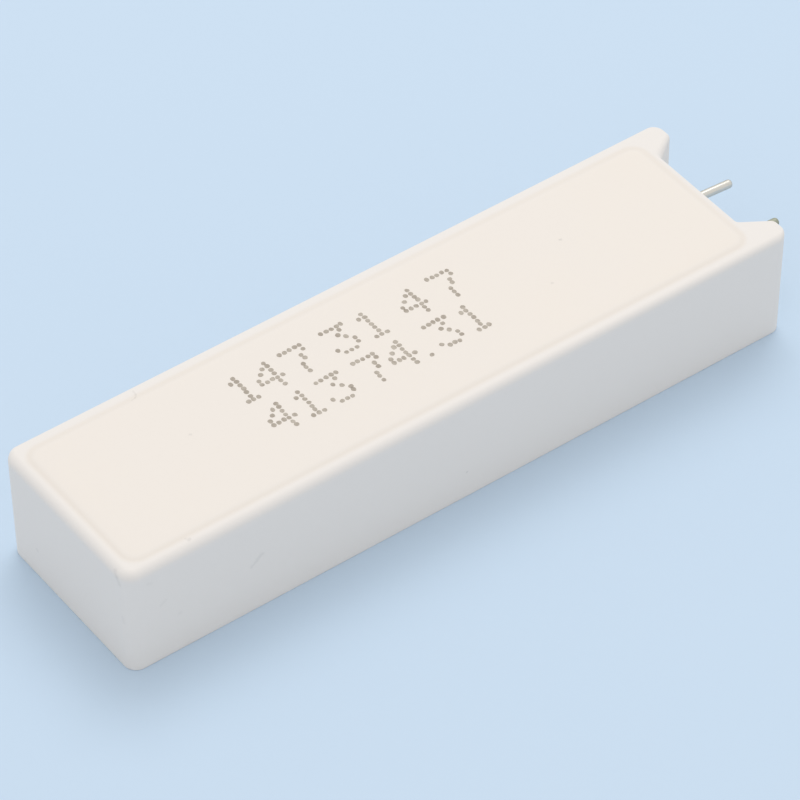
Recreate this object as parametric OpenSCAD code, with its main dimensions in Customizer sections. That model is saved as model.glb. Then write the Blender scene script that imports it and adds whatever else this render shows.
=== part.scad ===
// Vertical-mount power resistor in a pressed ceramic case.
// It lies on the open back of its case, marking face up. +X runs along the case to the leads,
// and the origin is under the middle of its overall length.

/* [Case] */
// Length of the case at the marking face, over the feet
case_length = 51.3; // [40:0.1:70]
// Width of the case at the marking face
case_width = 13.6; // [13:0.1:15]
// Thickness of the case, from the open back to the marking face's rim
case_height = 8.4; // [8:0.1:12]
// Lean of the outer walls, which draw in towards the open back
outer_lean = 0.7; // [0:0.1:2]
// Radius of the four upright corners
corner_r = 1; // [0.8:0.1:1.3]
// Radius round the edge of the marking face
edge_r = 0.5; // [0.2:0.1:0.7]

/* [Marking panel] */
// Height of the panel above the rim
panel_height = 0.1; // [0.05:0.05:0.2]
// Rim between the case's outline and the foot of the panel
rim_width = 0.95; // [0.8:0.05:1.5]
// Rim between the notch and the foot of the panel
notch_rim = 0.6; // [0.4:0.1:1.5]
// Width of the panel's sloping shoulder
shoulder = 0.5; // [0.2:0.1:0.8]
// Corner radius at the foot of the panel
panel_r = 1.2; // [1:0.1:2]

/* [Feet] */
// Length of the two feet past the lead end's wall
foot_length = 2; // [1:0.1:4]
// Width of a foot where it leaves the wall
foot_root = 2.85; // [2.4:0.05:3.5]
// Width of a foot at its tip
foot_tip = 1.45; // [1.3:0.05:2]
// Radius in the root and on the tip of a foot
foot_r = 0.5; // [0.2:0.1:0.7]

/* [Cavity] */
// Thickness of the long walls at the back rim
side_wall = 1.5; // [1.2:0.1:1.8]
// Thickness of the two end walls at the back rim
end_wall = 1.6; // [1.2:0.1:2]
// Thickness behind the marking face
face_wall = 1.3; // [1:0.1:1.6]
// Lean of the cavity's walls, which open out towards the back
cavity_lean = 1; // [0.2:0.1:2]
// Radius of the cavity's upright corners
cavity_r = 1; // [0.6:0.1:1.3]
// Radius between the cavity's floor and its walls
cavity_edge_r = 0.4; // [0.2:0.1:0.5]
// How far the cement stops below the back rim
fill_gap = 0.3; // [0.1:0.1:0.5]

/* [Leads] */
// Diameter of the lead wire
lead_d = 0.7; // [0.6:0.05:0.8]
// Distance between the leads where they leave the case
lead_pitch = 4.7; // [4.6:0.1:5.2]
// Length of wire past the feet
lead_reach = 2.95; // [2:0.05:10]
// Radius of the slight bend between the feet, after which the leads drop a little
drop_r = 10; // [5:5:15]
// How far before the tips of the feet that bend ends
drop_ahead = 0.4; // [0.3:0.1:0.6]
// Gap between a lead and the wall of its slot
slot_clearance = 0.2; // [0.1:0.05:0.3]
// Centre-line radius of the bends inside the case
bend_r = 1.2; // [0.8:0.1:1.6]
// Straight wire between a cap and its first bend
neck = 0.8; // [0.5:0.1:1.2]

/* [Element] */
// From the closed end's outline to the former rod
rod_inset = 6; // [6:0.1:7]
// From the former rod to the outside of the lead end's wall
lead_room = 8.3; // [7:0.1:12]
// Cement between the caps and the cavity's floor
cap_bed = 0.2; // [0.1:0.1:0.5]
// Cement between the caps and the cavity's long wall
cap_side = 0.6; // [0.5:0.1:0.9]
// Thickness drawn for the resistive film
film = 0.1; // [0.05:0.05:0.15]
// Sheet thickness of the end caps
cap_sheet = 0.25; // [0.2:0.05:0.3]
// Depth that a cap reaches over the rod
cap_depth = 4; // [3:0.5:5]
// Outer radius on the closed end of a cap
cap_edge_r = 0.4; // [0.2:0.1:0.5]

/* [Hidden] */
$fn = 48;

// How far a cutting shape runs past the face that it cuts
over = 1;

// Rounds to the last digit that is kept of a coordinate, so that shapes built apart meet exactly
function snug(value) = round(value * 10000) / 10000;

// Angle of the leads' drop, and how far their cut ends reach past the feet
drop_angle = asin(237 / 3125);
drop_length = drop_ahead + lead_reach;
tip_reach = snug(drop_length * cos(drop_angle) + lead_d / 2 * sin(drop_angle) - drop_ahead);

closed_x = snug(-(case_length + tip_reach) / 2);
feet_x = closed_x + case_length;
wall_x = feet_x - foot_length;
// How far the leaning walls have drawn in at the back rim
draw_in = snug(case_height * tan(outer_lean));

cavity_depth = case_height - face_wall;
cavity_spread = snug(cavity_depth * tan(cavity_lean));
cavity_start = closed_x + draw_in + end_wall;
cavity_end = wall_x - end_wall;
cavity_width = case_width - 2 * (draw_in + side_wall);

rod_start = closed_x + rod_inset;
rod_end = wall_x - lead_room;
rod_length = rod_end - rod_start;
// The former's axis is in line with the short lead, and its caps fill the room beside it
rod_y = -lead_pitch / 2;
cap_r = snug(cavity_width / 2 - cavity_spread + rod_y - cap_side);
film_r = cap_r - cap_sheet;
rod_d = 2 * (film_r - film);
lead_height = cavity_depth - cap_bed - cap_r;
// Where the return lead's first bend starts
turn_x = rod_start - cap_sheet - neck;

// Section of a pan's border: out to a wall that leans by lean degrees, reaching out to reach
// at the top, with a rounded top edge
module border(reach, height, edge, lean) {
    centre = [reach - edge * tan(lean) - edge / cos(lean), height - edge];
    polygon([
        [0, 0],
        [reach - height * tan(lean), 0],
        centre + edge * [cos(lean), -sin(lean)],
        centre + [0, edge],
        [0, height]
    ]);
    intersection() {
        translate(centre) circle(edge);
        square([reach + over, height + over]);
    }
}

// Block with leaning walls, coned corners and a rounded top edge, sized at its top:
// a plain middle, four straight borders and four turned ones
module pan(length, width, height, corner, edge, lean) {
    half = [snug(length / 2) - corner, snug(width / 2) - corner];
    translate([-half.x, -half.y, 0]) cube([2 * half.x, 2 * half.y, height]);
    for (sx = [0, 1])
        mirror([sx, 0, 0])
            translate([half.x, 0, 0])
                rotate([90, 0, 0])
                    linear_extrude(2 * half.y, center = true)
                        border(corner, height, edge, lean);
    for (sy = [0, 1])
        mirror([0, sy, 0])
            translate([0, half.y, 0])
                rotate([90, 0, 90])
                    linear_extrude(2 * half.x, center = true)
                        border(corner, height, edge, lean);
    for (sx = [0, 1], sy = [0, 1])
        mirror([sx, 0, 0])
            mirror([0, sy, 0])
                translate([half.x, half.y, 0])
                    rotate_extrude(angle = 90) border(corner, height, edge, lean);
}

// Low table with a sloping shoulder and rounded corners, sized at its foot
module raised_panel(length, width) {
    half = [snug(length / 2), snug(width / 2)];
    rotate([90, 0, 0])
        linear_extrude(2 * (half.y - panel_r), center = true)
            polygon([[-half.x, 0], [half.x, 0],
                     [half.x - shoulder, panel_height], [shoulder - half.x, panel_height]]);
    rotate([90, 0, 90])
        linear_extrude(2 * (half.x - panel_r), center = true)
            polygon([[-half.y, 0], [half.y, 0],
                     [half.y - shoulder, panel_height], [shoulder - half.y, panel_height]]);
    for (sx = [-1, 1], sy = [-1, 1])
        translate([sx * (half.x - panel_r), sy * (half.y - panel_r), 0])
            cylinder(h = panel_height, r1 = panel_r, r2 = panel_r - shoulder);
}

// Half of the outline of the void between the feet, from the middle out
module half_notch() {
    root_y = case_width / 2 - foot_root;
    rise = foot_root - foot_tip;
    slope = atan2(rise, foot_length);
    along = [cos(slope), sin(slope)];
    tangent = foot_r * tan((90 - slope) / 2);
    translate([0, root_y]) {
        polygon([
            [0, -root_y - over],
            [0, -tangent],
            tangent * along,
            [foot_length, rise],
            [foot_length + over, rise],
            [foot_length + over, -root_y - over]
        ]);
        translate([foot_r, -tangent]) circle(foot_r);
        translate([foot_length, rise])
            difference() {
                polygon([-tangent * along, [0, tangent], [over, tangent], [over, -over]]);
                translate([-foot_r, tangent]) circle(foot_r);
            }
    }
}

module notch() {
    translate([wall_x, 0, -over])
        linear_extrude(case_height + 2 * over) {
            half_notch();
            mirror([0, 1]) half_notch();
        }
}

// The hollow that takes the element and the cement, open at the back
module cavity() {
    depth = cavity_depth + over;
    narrowing = 2 * cavity_spread;
    translate([(cavity_start + cavity_end) / 2, 0, -over])
        pan(cavity_end - cavity_start - narrowing, cavity_width - narrowing, depth,
            cavity_r, cavity_edge_r, -cavity_lean);
}

// Slots from the back rim down to the leads, round at their ends, up to end_x
module lead_slots(end_x) {
    width = lead_d + 2 * slot_clearance;
    start = cavity_end - cavity_spread - over;
    for (side = [-1, 1])
        translate([start, side * lead_pitch / 2, 0])
            rotate([90, 0, 90])
                linear_extrude(end_x - start) {
                    translate([-width / 2, -over]) square([width, lead_height + over]);
                    translate([0, lead_height]) circle(d = width);
                }
}

module ceramic_case() {
    color("#f0ebe5")
        difference() {
            union() {
                translate([(closed_x + feet_x) / 2, 0, 0])
                    pan(case_length, case_width, case_height, corner_r, edge_r, outer_lean);
                translate([(closed_x + rim_width + wall_x - notch_rim) / 2, 0, case_height])
                    raised_panel(wall_x - notch_rim - closed_x - rim_width,
                                 case_width - 2 * rim_width);
            }
            notch();
            cavity();
            lead_slots(wall_x + over);
        }
}

module cement_fill() {
    color("#d9d4ca")
        difference() {
            union() {
                cavity();
                lead_slots(wall_x - fill_gap);
            }
            translate([closed_x, -case_width / 2, fill_gap - 2 * over])
                cube([case_length, case_width, 2 * over]);
            along_rod(rod_start) cylinder(h = rod_length, r = film_r);
            cap_outline(rod_start, -1);
            cap_outline(rod_end, 1);
            lead_short_wire();
            lead_return_wire();
        }
}

// Puts its children's +Z on the former's axis, pointing to the leads, from x
module along_rod(x) {
    translate([x, rod_y, lead_height])
        rotate([0, 90, 0])
            children();
}

module former_rod() {
    color("#e8e0d0")
        along_rod(rod_start) cylinder(h = rod_length, d = rod_d);
}

module resistive_film() {
    color("#5a5550")
        along_rod(rod_start)
            difference() {
                cylinder(h = rod_length, r = film_r);
                translate([0, 0, -over]) cylinder(h = rod_length + 2 * over, d = rod_d);
            }
}

// Outside of a cap whose closed end lies over the rod's end at x; facing is 1 or -1 along X
module cap_outline(x, facing) {
    translate([x, rod_y, lead_height])
        rotate([0, facing * 90, 0])
            rotate_extrude() {
                translate([0, -cap_depth]) square([cap_r, cap_depth + cap_sheet - cap_edge_r]);
                square([cap_r - cap_edge_r, cap_sheet]);
                intersection() {
                    translate([cap_r - cap_edge_r, cap_sheet - cap_edge_r]) circle(cap_edge_r);
                    translate([0, -cap_depth]) square([cap_r + over, cap_depth + over]);
                }
            }
}

module cap(x, facing) {
    color("#b9b6ae")
        difference() {
            cap_outline(x, facing);
            translate([x, rod_y, lead_height])
                rotate([0, facing * 90, 0])
                    translate([0, 0, -cap_depth - over])
                        cylinder(h = cap_depth + over, r = film_r);
        }
}

module cap_lead_end() {
    cap(rod_end, 1);
}

module cap_closed_end() {
    cap(rod_start, -1);
}

// Straight wire along X at y
module straight(from_x, to_x, y) {
    translate([from_x, y, lead_height])
        rotate([0, 90, 0])
            cylinder(h = to_x - from_x, d = lead_d);
}

// Bent wire round a centre, from one angle to another, counted from +X towards +Y
module bend(x, y, from, to) {
    translate([x, y, lead_height])
        rotate([0, 0, from])
            rotate_extrude(angle = to - from)
                translate([bend_r, 0]) circle(d = lead_d);
}

// Last stretch of a lead: out through the wall, a slight bend, and straight on past the feet
module lead_end(from_x, y) {
    drop_x = feet_x - drop_ahead;
    bend_run = drop_r * sin(drop_angle);
    translate([drop_x, y, lead_height]) {
        translate([from_x - drop_x, 0, 0])
            rotate([0, 90, 0])
                cylinder(h = drop_x - bend_run - from_x, d = lead_d);
        translate([-bend_run, 0, -drop_r])
            rotate([0, -90, -90])
                rotate_extrude(angle = drop_angle)
                    translate([drop_r, 0]) circle(d = lead_d);
        translate([0, 0, drop_r * cos(drop_angle) - drop_r])
            rotate([0, 90 + drop_angle, 0])
                cylinder(h = drop_length, d = lead_d);
    }
}

module lead_short_wire() {
    lead_end(rod_end + cap_sheet, rod_y);
}

module lead_return_wire() {
    straight(turn_x, rod_start - cap_sheet, rod_y);
    bend(turn_x, rod_y + bend_r, 180, 270);
    translate([turn_x - bend_r, rod_y + bend_r, lead_height])
        rotate([-90, 0, 0])
            cylinder(h = lead_pitch - 2 * bend_r, d = lead_d);
    bend(turn_x, -rod_y - bend_r, 90, 180);
    lead_end(turn_x, -rod_y);
}

module lead_short() {
    color("#c8c5bd") lead_short_wire();
}

module lead_return() {
    color("#c8c5bd") lead_return_wire();
}

ceramic_case();
cement_fill();
former_rod();
resistive_film();
cap_lead_end();
cap_closed_end();
lead_short();
lead_return();
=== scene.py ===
import math

import bmesh
import bpy
from mathutils import Matrix, Vector


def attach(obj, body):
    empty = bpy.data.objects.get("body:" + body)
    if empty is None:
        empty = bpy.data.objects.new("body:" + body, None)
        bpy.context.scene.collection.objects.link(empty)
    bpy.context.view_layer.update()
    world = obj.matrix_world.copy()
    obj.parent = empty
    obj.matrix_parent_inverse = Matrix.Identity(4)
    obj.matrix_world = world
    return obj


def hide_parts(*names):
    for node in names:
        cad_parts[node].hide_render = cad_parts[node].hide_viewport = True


MM = 0.001

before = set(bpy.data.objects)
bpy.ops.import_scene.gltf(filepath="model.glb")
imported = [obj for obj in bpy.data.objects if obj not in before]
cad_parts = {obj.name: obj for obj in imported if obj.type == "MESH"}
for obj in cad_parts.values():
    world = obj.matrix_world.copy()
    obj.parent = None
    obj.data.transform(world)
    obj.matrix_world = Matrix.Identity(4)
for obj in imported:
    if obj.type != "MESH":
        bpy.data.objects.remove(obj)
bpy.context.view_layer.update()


class Socket:
    """A node's output that Python's operators combine through Math nodes."""

    def __init__(self, nodes, output):
        self.nodes = nodes
        self.output = output

    def maths(self, operation, first, second=0.0):
        return self.nodes.add("ShaderNodeMath", {"operation": operation}, {0: first, 1: second})

    def __add__(self, other):
        return self.maths("ADD", self, other)

    __radd__ = __add__

    def __sub__(self, other):
        return self.maths("SUBTRACT", self, other)

    def __rsub__(self, other):
        return self.maths("SUBTRACT", other, self)

    def __mul__(self, other):
        return self.maths("MULTIPLY", self, other)

    __rmul__ = __mul__

    def __pow__(self, other):
        return self.maths("POWER", self, other)

    def __abs__(self):
        return self.maths("ABSOLUTE", self)

    def at_least(self, other):
        return self.maths("MAXIMUM", self, other)

    def at_most(self, other):
        return self.maths("MINIMUM", self, other)

    def ramp(self, low, high):
        """0 below low, 1 above high, eased in between."""
        settings = {"interpolation_type": "SMOOTHSTEP"}
        inputs = {"Value": self, "From Min": low, "From Max": high}
        return self.nodes.add("ShaderNodeMapRange", settings, inputs, "Result")


class Nodes:
    """A node tree, all of whose nodes are made by add()."""

    def __init__(self, tree):
        self.tree = tree
        tree.nodes.clear()

    def add(self, kind, settings, inputs, output=0):
        """A node of this kind; its settings come first, then its sockets' values or links."""
        node = self.tree.nodes.new(kind)
        for name, value in settings.items():
            setattr(node, name, value)
        for name, value in inputs.items():
            if isinstance(value, Socket):
                self.tree.links.new(value.output, node.inputs[name])
            else:
                node.inputs[name].default_value = value
        return Socket(self, node.outputs[output]) if node.outputs else None

    def vectors(self, operation, inputs, output="Vector"):
        return self.add("ShaderNodeVectorMath", {"operation": operation}, inputs, output)


class Finish(Nodes):
    """One material. Its patterns are laid out in millimetres on the object's own axes."""

    def __init__(self, name):
        self.material = bpy.data.materials.new(name)
        self.material.use_nodes = True
        super().__init__(self.material.node_tree)
        metres = self.add("ShaderNodeTexCoord", {}, {}, "Object")
        self.place = self.vectors("SCALE", {0: metres, "Scale": 1 / MM})

    def axis(self, letter):
        return self.add("ShaderNodeSeparateXYZ", {}, {0: self.place}, letter)

    def grain(self, size, detail=2.0, roughness=0.5, stretch=(1, 1, 1), seed=0.0):
        """Noise whose blotches are about size millimetres across, between 0 and 1."""
        shift = (100 * seed, 70 * seed, 130 * seed)
        place = self.vectors("MULTIPLY_ADD", {0: self.place, 1: stretch, 2: shift})
        inputs = {"Vector": place, "Scale": 0.5 / size, "Detail": detail, "Roughness": roughness}
        return self.add("ShaderNodeTexNoise", {"noise_dimensions": "3D"}, inputs, "Fac")

    def specks(self, spacing, low, high):
        """1 in small spots, one near each point of a loose lattice, 0 elsewhere."""
        inputs = {"Vector": self.place, "Scale": 1 / spacing}
        distance = self.add("ShaderNodeTexVoronoi", {"feature": "F1"}, inputs, "Distance")
        return 1 - distance.ramp(low, high)

    def stroke(self, place, start, end, width):
        """1 along a straight stroke from start to end, 0 away from it."""
        run = Vector(end) - Vector(start)
        to_start = self.vectors("SUBTRACT", {0: place, 1: start})
        reach = self.vectors("DOT_PRODUCT", {0: to_start, 1: run}, "Value")
        share = (reach * (1 / max(run.length_squared, 1e-6))).at_least(0.0).at_most(1.0)
        along = self.vectors("SCALE", {0: run, "Scale": share})
        distance = self.vectors("DISTANCE", {0: to_start, 1: along}, "Value")
        return 1 - distance.ramp(0.2 * width, width)

    def mix(self, amount, first, second):
        """first where amount is 0, second where it is 1; both are colours."""
        return self.add("ShaderNodeMix", {"data_type": "RGBA"}, {0: amount, 6: first, 7: second}, 2)

    def bump(self, height, depth):
        """Relief in millimetres."""
        inputs = {"Height": height, "Strength": 1.0, "Distance": depth * MM}
        return self.add("ShaderNodeBump", {}, inputs, "Normal")

    def surface(self, inputs):
        shader = self.add("ShaderNodeBsdfPrincipled", {}, inputs, "BSDF")
        self.add("ShaderNodeOutputMaterial", {}, {"Surface": shader})
        return self.material


# Sizes in millimetres. The case's outside, with its edges and feet worn as the real ones are
CLOSED_X = -27.1335
CASE_LENGTH = 51.3
HALF_WIDTH = 6.8
CASE_HEIGHT = 8.4
OUTER_LEAN = math.tan(math.radians(0.7))
CORNER_R = 1.0
FOOT_CORNER_R = 0.85
# Radius of the marking face's edge at the closed end, and along each side up to its foot
CLOSED_EDGE_R = 0.66
NEAR_EDGES = (0.64, 0.48)
FAR_EDGES = (0.3, 0.3)
FEET_X = CLOSED_X + CASE_LENGTH
FOOT_LENGTH = 2.0
FOOT_ROOT = 2.85
FOOT_R = 0.5
WALL_X = FEET_X - FOOT_LENGTH
NOTCH_EDGE_R = 0.3
BACK_EDGE_R = 0.06
# Narrow strip that keeps a rounded edge's shading off the surface beside it
FLAT_STRIP = 0.03
# How far each foot is worn back, its width at the tip, and its edge radius there and on the slope
FAR_FOOT = (0.12, 1.5, 0.36, 0.55)
NEAR_FOOT = (0.05, 1.58, 0.12, 0.12)

# The raised panel
RIM_WIDTH = 0.82
NOTCH_RIM = 0.48
PANEL_R = 1.15
PANEL_TOP = 8.491
PANEL_LOW = (CLOSED_X + RIM_WIDTH, RIM_WIDTH - HALF_WIDTH)
PANEL_HIGH = (WALL_X - NOTCH_RIM, HALF_WIDTH - RIM_WIDTH)
# Steps in from the panel's outline, and how steep its shoulder is up to each
SHOULDER = ((0.06, 0.3), (0.12, 0.8), (0.18, 1.0), (0.26, 0.92), (0.36, 0.72), (0.5, 0.5),
            (0.68, 0.32), (0.9, 0.17), (1.15, 0.07), (1.4, 0.02))

# The hollow and the slots
SIDE_WALL = 1.5
END_WALL = 1.6
CAVITY_DEPTH = 7.1
CAVITY_LEAN = math.tan(math.radians(1))
CAVITY_CORNER_R = 1.12
CAVITY_EDGE_R = 0.4
SLOT_R = 0.55
# How far a cutting shape runs past the face that it cuts
OVER = 1.0

# The leads, which get a little thinner past the case
LEAD_R = 0.35
BARE_R = 0.3
LEAD_Y = 2.35
LEAD_HEIGHT = 4.7765
# Where a lead starts to thin and rise to its drop
LEAVE_X = WALL_X - 1
# The slight bend between the feet, where it ends, and the straight wire after it
DROP_R = 10.0
DROP_ANGLE = math.asin(237 / 3125)
DROP_X = FEET_X - 0.4
DROP_LENGTH = 3.35
# How much shorter each lead is cut, and how much higher it comes out
FAR_TIP = (0.2, 0.17)
NEAR_TIP = (0.11, 0.14)
CUT_R = 0.2
# The two bends of the far lead inside the case, and the straight wire before the first
BEND_R = 1.2
NECK = 0.8
WIRE_SIDES = 32

# The former rod's ends and the sheet of its caps, where the leads start
ROD_START = CLOSED_X + 6
ROD_END = WALL_X - 8.3
CAP_SHEET = 0.25

# Faces that meet at a larger angle than this keep a sharp edge between them
CASE_SHARP = math.radians(32)
WIRE_SHARP = math.radians(50)


def blend(first, last, share):
    """From first to last, with an even start and stop."""
    return first + (last - first) * share * share * (3 - 2 * share)


def arc_points(centre, radius, start, end, steps):
    """Points and directions from the centre, by angles in degrees, both ends included."""
    found = []
    for i in range(steps + 1):
        angle = math.radians(start + (end - start) * i / steps)
        away = Vector((math.cos(angle), math.sin(angle)))
        found.append((Vector(centre) + radius * away, away))
    return found


def new_piece(name, bm, material):
    """Turns a bmesh in millimetres into an object at the origin, in metres."""
    mesh = bpy.data.meshes.new(name)
    bm.to_mesh(mesh)
    bm.free()
    mesh.transform(Matrix.Scale(MM, 4))
    mesh.polygons.foreach_set("use_smooth", [True] * len(mesh.polygons))
    mesh.materials.append(material)
    piece = bpy.data.objects.new(name, mesh)
    bpy.context.scene.collection.objects.link(piece)
    return piece


def join_rings(bm, rings):
    """Quads between each ring of vertices and the next; every ring is closed."""
    for lower, upper in zip(rings, rings[1:]):
        count = len(lower)
        for i in range(count):
            j = (i + 1) % count
            bm.faces.new((lower[i], lower[j], upper[j], upper[i]))


def fill_flat(bm, *rings):
    """Flat cover over the first ring, with the others as holes."""
    edges = set()
    for ring in rings:
        for i, vertex in enumerate(ring):
            edges.add(bm.edges.get((vertex, ring[(i + 1) % len(ring)])) or
                      bm.edges.new((vertex, ring[(i + 1) % len(ring)])))
    bmesh.ops.triangle_fill(bm, edges=list(edges), use_beauty=True, use_dissolve=False)


def half_outline(side_edges, worn, tip_width, tip_edge, foot_edge):
    """Plan of the case's far half, from the closed end's middle to the notch's.

    Each point comes with its direction into the ceramic, its share of the lean of the
    walls, and the radius of the edge above it.
    """
    slope = math.atan2(FOOT_ROOT - tip_width, FOOT_LENGTH - worn)
    tangent = FOOT_R * math.tan((math.pi / 2 - slope) / 2)
    tip_y = HALF_WIDTH - tip_width + tangent
    root_y = HALF_WIDTH - FOOT_ROOT - tangent
    inner_y = HALF_WIDTH - CORNER_R
    outer_y = HALF_WIDTH - FOOT_CORNER_R
    start, end = CLOSED_X + CORNER_R, FEET_X - worn - FOOT_CORNER_R
    half = []
    for i in range(7):
        half.append(((CLOSED_X, inner_y * i / 7), (1, 0), 1, CLOSED_EDGE_R))
    for i, (point, away) in enumerate(arc_points((start, inner_y), CORNER_R, 180, 90, 10)):
        half.append((point, -away, 1, blend(CLOSED_EDGE_R, side_edges[0], i / 10)))
    for i in range(1, 40):
        half.append(((start + (end - start) * i / 40, HALF_WIDTH), (0, -1), 1,
                     blend(*side_edges, i / 40)))
    for i, (point, away) in enumerate(arc_points((end, outer_y), FOOT_CORNER_R, 90, 0, 10)):
        half.append((point, -away, 1, blend(side_edges[1], tip_edge, i / 10)))
    turn = math.degrees(slope) - 90
    tip_middle = (FEET_X - worn - FOOT_R, tip_y)
    for i, (point, away) in enumerate(arc_points(tip_middle, FOOT_R, 0, turn, 8)):
        half.append((point, -away, blend(1, 0, i / 8), tip_edge))
    root = arc_points((WALL_X + FOOT_R, root_y), FOOT_R, 180 + turn, 180, 8)
    tip_end, root_start = half[-1][0], root[0][0]
    for i in range(1, 6):
        half.append((tip_end.lerp(root_start, i / 6), root[0][1], 0,
                     blend(tip_edge, foot_edge, i / 6)))
    for i, (point, away) in enumerate(root):
        half.append((point, away, 0, blend(foot_edge, NOTCH_EDGE_R, i / 8)))
    for i in range(1, 9):
        half.append(((WALL_X, root_y * (1 - i / 8)), (-1, 0), 0, NOTCH_EDGE_R))
    return [(Vector(point), Vector(inward), lean, edge) for point, inward, lean, edge in half]


def case_outline():
    """Closed plan of the case: the far half and, mirrored, the near one."""
    mirror = Vector((1, -1))
    near = [(point * mirror, inward * mirror, lean, edge)
            for point, inward, lean, edge in half_outline(NEAR_EDGES, *NEAR_FOOT)]
    return half_outline(FAR_EDGES, *FAR_FOOT) + near[-2:0:-1]


def case_rings(bm):
    """Rings of the case's outside, from the back rim to the flat of the marking face's rim."""
    outline = case_outline()

    def ring(height_and_inset):
        made = []
        for point, inward, lean, edge in outline:
            height, inset = height_and_inset(edge)
            inset += (CASE_HEIGHT - height) * OUTER_LEAN * lean
            made.append(bm.verts.new((*(point + inward * inset), height)))
        return made

    rings = []
    for degrees in (0, 30, 60, 90):
        turn = math.radians(degrees)
        height = BACK_EDGE_R * (1 - math.sin(turn))
        inset = BACK_EDGE_R * (1 - math.cos(turn))
        rings.insert(0, ring(lambda edge: (height, inset)))
    for share in (0.03, 0.25, 0.5, 0.75, 0.97):
        rings.append(ring(lambda edge: (
            BACK_EDGE_R + (CASE_HEIGHT - edge - BACK_EDGE_R) * share, 0)))
    for step in range(11):
        turn = math.radians(90) * step / 10
        rings.append(ring(lambda edge: (CASE_HEIGHT - edge * (1 - math.sin(turn)),
                                        edge * (1 - math.cos(turn)))))
    rings.append(ring(lambda edge: (CASE_HEIGHT, edge + FLAT_STRIP)))
    return rings


def rounded_ring(bm, low, high, radius, height, steps=10):
    """Closed ring round a rectangle with rounded corners."""
    corners = (
        ((low[0] + radius, low[1] + radius), 180),
        ((high[0] - radius, low[1] + radius), 270),
        ((high[0] - radius, high[1] - radius), 0),
        ((low[0] + radius, high[1] - radius), 90),
    )
    points = []
    for centre, start in corners:
        points += [p for p, away in arc_points(centre, radius, start, start + 90, steps)]
    return [bm.verts.new((p.x, p.y, height)) for p in points]


def panel_rings(bm):
    """Rings up the panel's soft shoulder, steep at its foot and level at its top."""
    steps = [(0.0, 0.0)]
    for inset, steepness in SHOULDER:
        before, rise = steps[-1]
        steps.append((inset, rise + (inset - before) * steepness))
    height = (PANEL_TOP - CASE_HEIGHT) / steps[-1][1]
    return [rounded_ring(bm, (PANEL_LOW[0] + inset, PANEL_LOW[1] + inset),
                         (PANEL_HIGH[0] - inset, PANEL_HIGH[1] - inset),
                         PANEL_R - inset * 0.5, CASE_HEIGHT + rise * height)
            for inset, rise in steps]


def cavity_cutter():
    """The hollow, which starts below the back rim so that it cuts the back open."""
    bm = bmesh.new()
    draw_in = CASE_HEIGHT * OUTER_LEAN
    low = (CLOSED_X + draw_in + END_WALL, draw_in + SIDE_WALL - HALF_WIDTH)
    high = (WALL_X - END_WALL, HALF_WIDTH - draw_in - SIDE_WALL)
    profile = [(-OVER, 0.0), (CAVITY_DEPTH - CAVITY_EDGE_R, 0.0)]
    profile += [(CAVITY_DEPTH - CAVITY_EDGE_R * (1 - math.sin(a)),
                 CAVITY_EDGE_R * (1 - math.cos(a)))
                for a in (math.radians(d) for d in (30, 60, 90))]
    rings = []
    for height, inset in profile:
        inset += height * CAVITY_LEAN
        rings.append(rounded_ring(
            bm, (low[0] + inset, low[1] + inset), (high[0] - inset, high[1] - inset),
            CAVITY_CORNER_R - inset, height, 6))
    join_rings(bm, rings)
    fill_flat(bm, rings[0])
    fill_flat(bm, rings[-1])
    bmesh.ops.recalc_face_normals(bm, faces=bm.faces)
    return new_piece("cavity_cutter", bm, None)


def slot_cutter(side):
    """A slot for one lead, from the back rim to the lead, round at its end."""
    bm = bmesh.new()
    section = [(SLOT_R, -OVER)]
    section += [(p.x, p.y) for p, away in arc_points((0, LEAD_HEIGHT), SLOT_R, 0, 180, 14)]
    section.append((-SLOT_R, -OVER))
    rings = [[bm.verts.new((x, side * LEAD_Y + y, z)) for y, z in section]
             for x in (WALL_X - END_WALL - OVER, WALL_X + OVER)]
    join_rings(bm, rings)
    fill_flat(bm, rings[0])
    fill_flat(bm, rings[1])
    bmesh.ops.recalc_face_normals(bm, faces=bm.faces)
    return new_piece("slot_cutter_near" if side < 0 else "slot_cutter_far", bm, None)


def make_case(material):
    bm = bmesh.new()
    outside = case_rings(bm)
    panel = panel_rings(bm)
    join_rings(bm, outside)
    join_rings(bm, panel)
    fill_flat(bm, outside[0])
    fill_flat(bm, outside[-1], panel[0])
    fill_flat(bm, panel[-1])
    bmesh.ops.recalc_face_normals(bm, faces=bm.faces)
    case = new_piece("case_shell", bm, material)
    cutters = [cavity_cutter(), slot_cutter(-1), slot_cutter(1)]
    for cutter in cutters:
        cut = case.modifiers.new("cut", "BOOLEAN")
        cut.operation = "DIFFERENCE"
        cut.solver = "EXACT"
        cut.object = cutter
    graph = bpy.context.evaluated_depsgraph_get()
    mesh = bpy.data.meshes.new_from_object(case.evaluated_get(graph))
    case.modifiers.clear()
    case.data = mesh
    mesh.materials.clear()
    mesh.materials.append(material)
    for cutter in cutters:
        bpy.data.objects.remove(cutter)
    mesh.polygons.foreach_set("use_smooth", [True] * len(mesh.polygons))
    mesh.set_sharp_from_angle(angle=CASE_SHARP)
    return case


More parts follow.
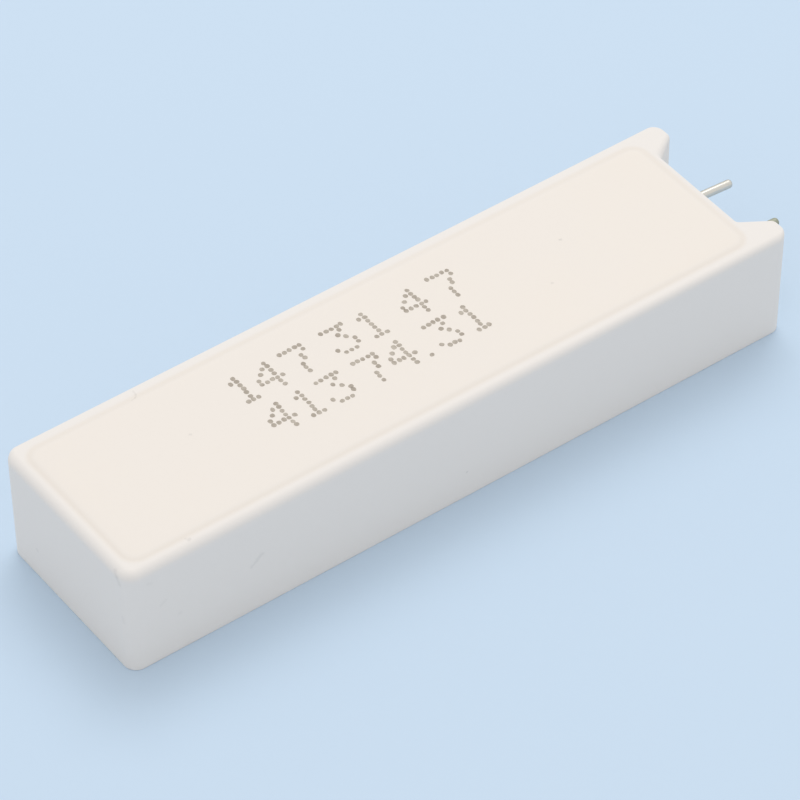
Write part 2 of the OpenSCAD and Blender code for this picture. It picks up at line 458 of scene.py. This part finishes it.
def sweep_wire(name, path, material):
    """Round wire along a path of points; its last one is the cut end, which has a soft rim."""
    stations = []
    for i, point in enumerate(path):
        along = (path[min(i + 1, len(path) - 1)] - path[max(i - 1, 0)]).normalized()
        stations.append((point, along, LEAD_R if point.x < WALL_X else BARE_R))
    tip, along, radius = stations.pop()
    stations.append((tip - along * (CUT_R + FLAT_STRIP), along, radius))
    for turn in (0, 22.5, 45, 67.5, 90):
        back = CUT_R * (1 - math.sin(math.radians(turn)))
        inset = CUT_R * (1 - math.cos(math.radians(turn)))
        stations.append((tip - along * back, along, BARE_R - inset))
    bm = bmesh.new()
    loops = []
    for point, along, radius in stations:
        across = Vector((0, 0, 1)).cross(along).normalized()
        over = along.cross(across)
        turns = [2 * math.pi * k / WIRE_SIDES for k in range(WIRE_SIDES)]
        loops.append([bm.verts.new(point + radius * (math.cos(t) * across + math.sin(t) * over))
                      for t in turns])
    join_rings(bm, loops)
    bm.faces.new(loops[0])
    bm.faces.new(loops[-1])
    bmesh.ops.recalc_face_normals(bm, faces=bm.faces)
    piece = new_piece(name, bm, material)
    piece.data.set_sharp_from_angle(angle=WIRE_SHARP)
    return piece


def wire_end(start_x, y, short, lift):
    """Points of a lead's last stretch, from start_x out to the cut end."""
    points = [Vector((start_x, y, LEAD_HEIGHT)), Vector((LEAVE_X, y, LEAD_HEIGHT))]
    bend_run = DROP_R * math.sin(DROP_ANGLE)
    for step in range(5):
        angle = DROP_ANGLE * step / 4
        points.append(Vector((DROP_X - bend_run + DROP_R * math.sin(angle), y,
                              LEAD_HEIGHT + lift - DROP_R * (1 - math.cos(angle)))))
    direction = Vector((math.cos(DROP_ANGLE), 0, -math.sin(DROP_ANGLE)))
    start = points[-1]
    return points + [start + direction * (DROP_LENGTH - short) * share for share in (0.5, 1)]


def return_path():
    """Points of the far lead, from the closed end's cap round its two bends and out."""
    turn_x = ROD_START - CAP_SHEET - NECK
    path = [Vector((ROD_START - CAP_SHEET, -LEAD_Y, LEAD_HEIGHT))]
    for p, away in arc_points((turn_x, BEND_R - LEAD_Y), BEND_R, 270, 180, 8):
        path.append(Vector((p.x, p.y, LEAD_HEIGHT)))
    for p, away in arc_points((turn_x, LEAD_Y - BEND_R), BEND_R, 180, 90, 8):
        path.append(Vector((p.x, p.y, LEAD_HEIGHT)))
    return path + wire_end(turn_x + 1, LEAD_Y, *FAR_TIP)


# Dots that make up each numeral, in seven rows from the top
NUMERALS = {
    "1": ("010", "110", "010", "010", "010", "010", "111"),
    "3": ("11111", "00010", "00100", "00010", "00001", "10001", "01110"),
    "4": ("00010", "00110", "01010", "10010", "11111", "00010", "00010"),
    "7": ("11111", "00001", "00010", "00010", "00100", "00100", "00100"),
}
DOT_PITCH = 0.39
ROW_PITCH = 0.376
DOT_DIAMETER = 0.335
# How far the middle of a dot is from the left edge of its numeral
DOT_MARGIN = 0.17
DOT_SIDES = 14
INK_DEPTH = 0.014
INK_LIFT = 0.001
# How far a dot strays from its place, and how uneven its outline is
DOT_WANDER = 0.04
DOT_RAGGED = 0.09
# Left edge of each numeral from this line, and the top of its row from the middle
PRINT_START_X = CLOSED_X + 0.1026
TOP_ROW = (("1", 14.3), ("4", 15.85), ("7", 18.2), ("3", 21.4), ("1", 24.1), ("4", 26.95),
           ("7", 29.7))
TOP_ROW_Y = 3.49
LOW_ROW = (("4", 14.35), ("1", 16.85), ("3", 18.6), ("7", 21.4), ("4", 23.55), ("3", 26.9),
           ("1", 29.6))
LOW_ROW_Y = 0.13
POINT_X = 26.05


def numeral_dots():
    """Middle of every printed dot."""
    dots = []
    for row, top in ((TOP_ROW, TOP_ROW_Y), (LOW_ROW, LOW_ROW_Y)):
        for numeral, left in row:
            for i, line in enumerate(NUMERALS[numeral]):
                for j, mark in enumerate(line):
                    if mark == "1":
                        dots.append((PRINT_START_X + left + DOT_MARGIN + j * DOT_PITCH,
                                     top - i * ROW_PITCH))
    dots.append((PRINT_START_X + POINT_X, LOW_ROW_Y - 6 * ROW_PITCH))
    return dots


class GeometryTree(Nodes):
    """A Geometry Nodes tree with named inputs."""

    def __init__(self, name):
        super().__init__(bpy.data.node_groups.new(name, "GeometryNodeTree"))
        sockets = self.tree.interface
        sockets.new_socket("Geometry", in_out="INPUT", socket_type="NodeSocketGeometry")
        sockets.new_socket("Geometry", in_out="OUTPUT", socket_type="NodeSocketGeometry")
        self.values = {}

    def start(self):
        return self.add("NodeGroupInput", {}, {}, "Geometry")

    def size(self, name, value, kind="NodeSocketFloat"):
        """A named input of the tree, and what this piece sets it to."""
        socket = self.tree.interface.new_socket(name, in_out="INPUT", socket_type=kind)
        self.values[socket.identifier] = value
        return self.add("NodeGroupInput", {}, {}, name)

    def apply(self, piece, result):
        self.add("NodeGroupOutput", {}, {0: result})
        modifier = piece.modifiers.new("tree", "NODES")
        modifier.node_group = self.tree
        for identifier, value in self.values.items():
            modifier[identifier] = value
        graph = bpy.context.evaluated_depsgraph_get()
        mesh = bpy.data.meshes.new_from_object(piece.evaluated_get(graph))
        piece.modifiers.clear()
        piece.data = mesh
        return piece


def make_print(material):
    """Numerals of small ink dots on the panel, none of them quite round or quite in line."""
    mesh = bpy.data.meshes.new("print_dots")
    middles = [(x * MM, y * MM, (PANEL_TOP + INK_LIFT) * MM) for x, y in numeral_dots()]
    mesh.from_pydata(middles, [], [])
    piece = bpy.data.objects.new("print_dots", mesh)
    bpy.context.scene.collection.objects.link(piece)

    tree = GeometryTree("print_dots")
    dot_size = tree.size("Dot Diameter", DOT_DIAMETER * MM)
    ink_depth = tree.size("Ink Depth", INK_DEPTH * MM)
    wander = tree.size("Wander", DOT_WANDER * MM)
    seed = tree.size("Seed", 7, "NodeSocketInt")
    drift = tree.add("FunctionNodeRandomValue", {"data_type": "FLOAT_VECTOR"},
                     {0: (-1, -1, 0), 1: (1, 1, 0), "Seed": seed})
    offset = tree.vectors("SCALE", {0: drift, "Scale": wander})
    points = tree.add("GeometryNodeMeshToPoints", {}, {"Mesh": tree.start()})
    points = tree.add("GeometryNodeSetPosition", {}, {"Geometry": points, "Offset": offset})
    dot = tree.add("GeometryNodeMeshCylinder", {},
                   {"Vertices": DOT_SIDES, "Radius": dot_size * 0.5, "Depth": ink_depth})
    spread = tree.add("FunctionNodeRandomValue", {"data_type": "FLOAT_VECTOR"},
                      {0: (0.88, 0.94, 1), 1: (1.06, 1.16, 1), "Seed": seed})
    placed = tree.add("GeometryNodeInstanceOnPoints", {},
                      {"Points": points, "Instance": dot, "Scale": spread})
    real = tree.add("GeometryNodeRealizeInstances", {}, {"Geometry": placed})
    noise = tree.add("ShaderNodeTexNoise", {"noise_dimensions": "3D"},
                     {"Scale": 4200.0, "Detail": 1.0}, "Color")
    centred = tree.vectors("SUBTRACT", {0: noise, 1: (0.5, 0.5, 0.5)})
    rough = tree.vectors("MULTIPLY", {0: centred, 1: (DOT_RAGGED * MM, DOT_RAGGED * MM, 0)})
    real = tree.add("GeometryNodeSetPosition", {}, {"Geometry": real, "Offset": rough})
    inked = tree.add("GeometryNodeSetMaterial", {}, {"Geometry": real, "Material": material})
    return tree.apply(piece, inked)


# Marks on the case: both ends, half width and how dark, all in millimetres but the last
MARKS = (
    ((-26.98, -5.44, 8.1), (-27.06, -5.66, 7.8), 0.24, 0.1),
    ((-27.06, -5.76, 7.86), (-27.06, -5.95, 7.42), 0.24, 0.13),
    ((-17.28, -6.78, 4.6), (-18.11, -6.78, 3.94), 0.2, 0.13),
    ((-17.4, -6.78, 4.75), (-17.7, -6.78, 4.45), 0.15, 0.05),
    ((-27.1, 3.55, 2.45), (-27.1, 3.5, 2.38), 0.2, 0.11),
    ((-25.6, -6.78, 7.2), (-25.35, -6.78, 7.05), 0.2, 0.05),
    ((-24.75, -6.78, 4.78), (-24.4, -6.78, 4.98), 0.2, 0.06),
    ((-23.42, -6.76, 3.28), (-23.4, -6.76, 3.2), 0.22, 0.06),
    ((-27.08, -6.02, 4.6), (-27.08, -6.1, 4.1), 0.18, 0.06),
    ((-1.67, -6.74, 2.2), (-1.63, -6.74, 2.17), 0.1, 0.22),
    ((-22.18, -6.19, 8.4), (-22.1, -6.17, 8.4), 0.17, 0.19),
    ((-22.3, -6.02, 8.4), (-22.3, -6.0, 8.4), 0.14, 0.12),
    ((11.9, 1.45, 8.49), (11.95, 1.43, 8.49), 0.15, 0.25),
    ((9.0, -1.45, 8.49), (9.05, -1.46, 8.49), 0.14, 0.18),
    ((-17.1, 1.05, 8.49), (-17.05, 1.02, 8.49), 0.15, 0.18),
    ((-17.69, 6.38, 8.4), (-17.73, 6.02, 8.4), 0.1, 0.12),
    ((-17.73, 6.02, 8.4), (-17.92, 5.78, 8.4), 0.1, 0.14),
    ((-17.92, 5.78, 8.4), (-18.21, 5.7, 8.4), 0.1, 0.14),
)
# How far a mark's outline strays
MARK_RAGGED = 0.1

BODY_WHITE = (0.862, 0.818, 0.776, 1)
# Painted light: the sides' colour, a little lighter and warmer than the top's
SIDE_PAINTED_LIGHT_WHITE = (0.88, 0.825, 0.776, 1)
PANEL_WHITE = (0.864, 0.803, 0.74, 1)
PANEL_CREAM = (0.872, 0.806, 0.732, 1)
# Painted shade along the foot of the panel's shoulder
SHOULDER_SHADE_TAN = (0.835, 0.772, 0.705, 1)
MARK_GREY = (0.36, 0.34, 0.32, 1)
ROD_CREAM = (0.8, 0.76, 0.68, 1)
ROD_TAN = (0.74, 0.7, 0.62, 1)
CEMENT_GREY = (0.56, 0.54, 0.5, 1)
CEMENT_PALE = (0.68, 0.66, 0.62, 1)
CEMENT_DARK = (0.42, 0.4, 0.37, 1)
TIN_BRIGHT = (0.69, 0.65, 0.585, 1)
TIN_DULL = (0.38, 0.385, 0.3, 1)
TIN_EDGE = (0.74, 0.73, 0.69, 1)
INK_BROWN = (0.39, 0.335, 0.274, 1)
INK_PALE = (0.535, 0.479, 0.407, 1)
FILM_BLACK = (0.07, 0.065, 0.06, 1)
FILM_GREY = (0.13, 0.12, 0.11, 1)
CAP_GREY = (0.5, 0.49, 0.45, 1)
CAP_PALE = (0.6, 0.58, 0.53, 1)
FLOOR_BLUE = (0.59, 0.725, 0.87, 1)
FLOOR_PALE = (0.61, 0.74, 0.88, 1)
STUDIO_WHITE = (1, 1, 1, 1)
BACKDROP_PALE = (0.9, 0.93, 0.95, 1)


def panel_distance(finish):
    """Millimetres out from the panel's outline, less than 0 on the panel."""
    middle = [(low + high) / 2 for low, high in zip(PANEL_LOW, PANEL_HIGH)]
    inner = [(high - low) / 2 - PANEL_R for low, high in zip(PANEL_LOW, PANEL_HIGH)]
    over_x = abs(finish.axis("X") - middle[0]) - inner[0]
    over_y = abs(finish.axis("Y") - middle[1]) - inner[1]
    corner = (over_x.at_least(0.0) ** 2 + over_y.at_least(0.0) ** 2) ** 0.5
    return corner + over_x.at_least(over_y).at_most(0.0) - PANEL_R


def case_finish():
    """Unglazed pressed ceramic: warm on the panel, whiter on the rim and sides, finely matt, with
    painted light making the sides a little lighter and warmer than the top and painted shade
    darkening the foot of the panel's shoulder.
    """
    finish = Finish("case_ceramic")
    cloud = finish.grain(9, 3.0, 0.55)
    wave = finish.grain(3.2, seed=0.8)
    fine = finish.grain(0.35, 4.0, 0.65, seed=0.3)
    outside = panel_distance(finish)
    face = finish.axis("Z").ramp(8.0, 8.35)
    panel = finish.mix(cloud.ramp(0.35, 0.72), PANEL_WHITE, PANEL_CREAM)
    # Painted light: everything below the top is a little lighter and warmer than the top
    body = finish.mix(face, SIDE_PAINTED_LIGHT_WHITE, BODY_WHITE)
    base = finish.mix(face * (1 - outside.ramp(-0.7, 0.15)), body, panel)
    # Painted shade: a darker tan band along the foot of the panel's shoulder, where shade falls
    hollow = face * (1 - abs(outside + 0.16).ramp(0.0, 0.42))
    base = finish.mix(hollow * (0.75 + 0.5 * wave), base, SHOULDER_SHADE_TAN)
    dust = finish.specks(3.4, 0.02, 0.035) * finish.grain(4, seed=0.5).ramp(0.52, 0.62)
    base = finish.mix(dust * 0.3, base, MARK_GREY)
    ragged = finish.add("ShaderNodeTexNoise", {"noise_dimensions": "3D"},
                        {"Vector": finish.place, "Scale": 5.0, "Detail": 2.0}, "Color")
    place = finish.vectors("MULTIPLY_ADD",
                           {0: ragged, 1: (2 * MARK_RAGGED,) * 3, 2: finish.place})
    place = finish.vectors("SUBTRACT", {0: place, 1: (MARK_RAGGED,) * 3})
    for start, end, width, strength in MARKS:
        stroke = finish.stroke(place, start, end, width)
        base = finish.mix(stroke * strength, base, MARK_GREY)
    return finish.surface({"Base Color": base, "Roughness": 0.5 + fine * 0.14 + cloud * 0.06,
                           "Normal": finish.bump(fine * 0.01 + wave * 0.03, 1.0),
                           "Specular IOR Level": 0.35})


def former_finish():
    finish = Finish("former_ceramic")
    fine = finish.grain(0.35, 4.0, 0.65)
    base = finish.mix(finish.grain(4, 3.0), ROD_CREAM, ROD_TAN)
    return finish.surface({"Base Color": base, "Roughness": 0.55 + fine * 0.15,
                           "Normal": finish.bump(fine, 0.02)})


def cement_finish():
    finish = Finish("cement")
    lumps = finish.grain(0.8, 5.0, 0.7)
    cloud = finish.grain(4, 3.0)
    base = finish.mix(cloud.ramp(0.3, 0.7), CEMENT_GREY, CEMENT_PALE)
    base = finish.mix(lumps.ramp(0.55, 0.7) * 0.4, base, CEMENT_DARK)
    return finish.surface({"Base Color": base, "Roughness": 0.8 + lumps * 0.15,
                           "Normal": finish.bump(lumps, 0.12)})


def wire_finish():
    """Tinned wire with fine draw marks, darker and duller towards the near lead's cut end."""
    finish = Finish("tinned_wire")
    drawn = finish.grain(0.05, 2.0, 0.5, stretch=(0.03, 1, 1))
    patches = finish.grain(0.9, 3.0, 0.6, seed=0.4).ramp(0.48, 0.7) * 0.7
    # Darker and duller on the near lead, most towards its cut end
    near_tip_dark = (1 - finish.axis("Y").ramp(-2.0, 0.0)) * (0.3 + 0.7 * finish.axis("X").ramp(22.5, 26.0))
    dull = patches.at_least(0.95 * near_tip_dark)
    base = finish.mix(dull, TIN_BRIGHT, TIN_DULL)
    return finish.surface({"Base Color": base, "Metallic": 1.0,
                           "Roughness": 0.3 + drawn * 0.1 + dull * 0.25,
                           "Normal": finish.bump(drawn, 0.006),
                           "Specular Tint": TIN_EDGE})


def ink_finish():
    finish = Finish("marking_ink")
    worn = finish.grain(0.22, 3.0, 0.6)
    base = finish.mix(worn.ramp(0.3, 0.75), INK_BROWN, INK_PALE)
    return finish.surface({"Base Color": base, "Roughness": 0.55 + worn * 0.2})


def film_finish():
    finish = Finish("resistive_film")
    streaks = finish.grain(0.3, 3.0, 0.6)
    base = finish.mix(streaks, FILM_BLACK, FILM_GREY)
    return finish.surface({"Base Color": base, "Roughness": 0.45 + streaks * 0.2})


def cap_finish():
    finish = Finish("cap_metal")
    drawn = finish.grain(0.2, 3.0, 0.6)
    base = finish.mix(drawn, CAP_GREY, CAP_PALE)
    return finish.surface({"Base Color": base, "Metallic": 1.0, "Roughness": 0.3 + drawn * 0.2,
                           "Normal": finish.bump(drawn, 0.01)})


tinned_wire = wire_finish()
cap_metal = cap_finish()

case_shell = make_case(case_finish())
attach(case_shell, "root")
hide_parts("ceramic_case")

lead_far = sweep_wire("lead_far", return_path(), tinned_wire)
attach(lead_far, "root")
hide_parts("lead_return")

lead_near = sweep_wire("lead_near", wire_end(ROD_END + CAP_SHEET, -LEAD_Y, *NEAR_TIP),
                       tinned_wire)
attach(lead_near, "root")
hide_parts("lead_short")

print_dots = make_print(ink_finish())
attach(print_dots, "root")

node_finishes = {
    "cement_fill": cement_finish(),
    "former_rod": former_finish(),
    "resistive_film": film_finish(),
    "cap_lead_end": cap_metal,
    "cap_closed_end": cap_metal,
}
for node, material in node_finishes.items():
    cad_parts[node].data.materials.clear()
    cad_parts[node].data.materials.append(material)


def make_floor():
    finish = Finish("floor")
    base = finish.mix(finish.grain(30), FLOOR_BLUE, FLOOR_PALE)
    material = finish.surface({"Base Color": base, "Roughness": 0.9, "Specular IOR Level": 0.1})
    mesh = bpy.data.meshes.new("floor")
    reach = 1.5
    corners = [(-reach, -reach, 0), (reach, -reach, 0), (reach, reach, 0), (-reach, reach, 0)]
    mesh.from_pydata(corners, [], [(0, 1, 2, 3)])
    mesh.materials.append(material)
    floor = bpy.data.objects.new("floor", mesh)
    bpy.context.scene.collection.objects.link(floor)


def make_world():
    """Even white light; the camera, metal and glass see a pale backdrop instead."""
    world = bpy.data.worlds.new("studio")
    bpy.context.scene.world = world
    world.use_nodes = True
    nodes = Nodes(world.node_tree)
    light = nodes.add("ShaderNodeBackground", {}, {"Color": STUDIO_WHITE, "Strength": 0.77})
    seen = nodes.add("ShaderNodeBackground", {}, {"Color": BACKDROP_PALE, "Strength": 1.0})
    sees_backdrop = nodes.add("ShaderNodeLightPath", {}, {}, "Is Camera Ray")
    for ray in ("Is Glossy Ray", "Is Transmission Ray"):
        sees_backdrop = sees_backdrop.at_least(nodes.add("ShaderNodeLightPath", {}, {}, ray))
    both = nodes.add("ShaderNodeMixShader", {}, {0: sees_backdrop, 1: light, 2: seen})
    nodes.add("ShaderNodeOutputWorld", {}, {"Surface": both})


def add_softbox(name, place, size, power):
    """Square light that faces the object; place and size are in metres, power in watts."""
    light = bpy.data.lights.new(name, "AREA")
    light.shape = "SQUARE"
    light.size = size
    light.energy = power
    lamp = bpy.data.objects.new(name, light)
    lamp.location = place
    lamp.rotation_euler = (-Vector(place)).to_track_quat("-Z", "Y").to_euler()
    bpy.context.scene.collection.objects.link(lamp)


# The camera's place in millimetres and its turn in degrees
CAMERA_PLACE = (-129.34, -174.35, 214.61)
CAMERA_TURN = (45.6343, 0.2931, -36.4507)


def add_camera():
    camera = bpy.data.cameras.new("camera")
    camera.sensor_width = 36
    camera.lens = 215.12
    camera.clip_start = 0.01
    camera.clip_end = 20
    holder = bpy.data.objects.new("camera", camera)
    holder.location = Vector(CAMERA_PLACE) * MM
    holder.rotation_euler = [math.radians(angle) for angle in CAMERA_TURN]
    bpy.context.scene.collection.objects.link(holder)
    bpy.context.scene.camera = holder


make_floor()
make_world()
add_softbox("key_softbox", place=(0.3, 0.33, 0.84), size=0.6, power=2.75)
add_camera()

bpy.context.scene.view_settings.view_transform = "Standard"
